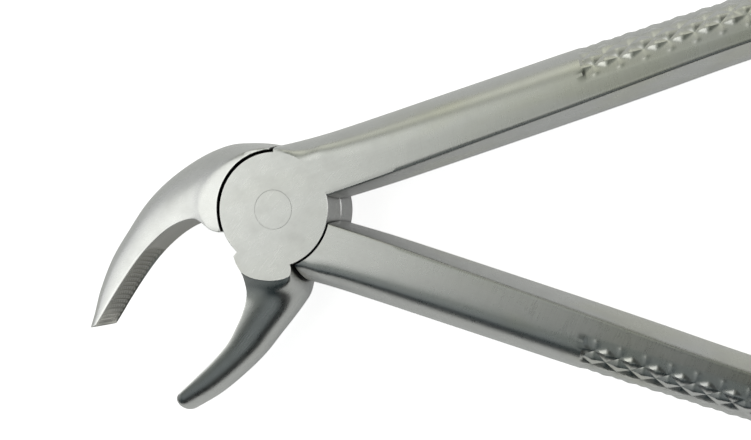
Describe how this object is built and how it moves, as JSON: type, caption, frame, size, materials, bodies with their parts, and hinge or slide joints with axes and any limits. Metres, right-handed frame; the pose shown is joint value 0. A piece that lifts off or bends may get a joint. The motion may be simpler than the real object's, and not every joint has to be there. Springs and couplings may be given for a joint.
{
  "type": "extraction forceps",
  "caption": "Riveted lap-joint tooth extraction forceps with beaks curved to one side, serrated gripping faces and knurled handles, drawn open.",
  "frame": {"origin": "on the rivet's axis, at its flush end in the plane of the back joint face, which the forceps rests on", "axes": "+Z along the rivet from the back face to the front face, +X towards the handles along the line that halves the angle between them when open, +Y to the front half's handle side"},
  "size_m": [0.153, 0.0817, 0.0115],
  "materials": {
    "front_half": "satin ground, flat face lapped",
    "rear_half": "satin ground, beak polished brighter",
    "pivot_rivet": "ground flush with the joint"
  },
  "bodies": {
    "front": {"front_half": "front_half", "pivot_rivet": "pivot_rivet"},
    "rear": {"rear_half": "rear_half"}
  },
  "joints": [
    {"name": "pivot", "type": "hinge", "parent": "front", "child": "rear", "pos_m": [0, 0, 0], "axis": [0, 0, 1], "range_deg": [-1, 22.5]}
  ]
}
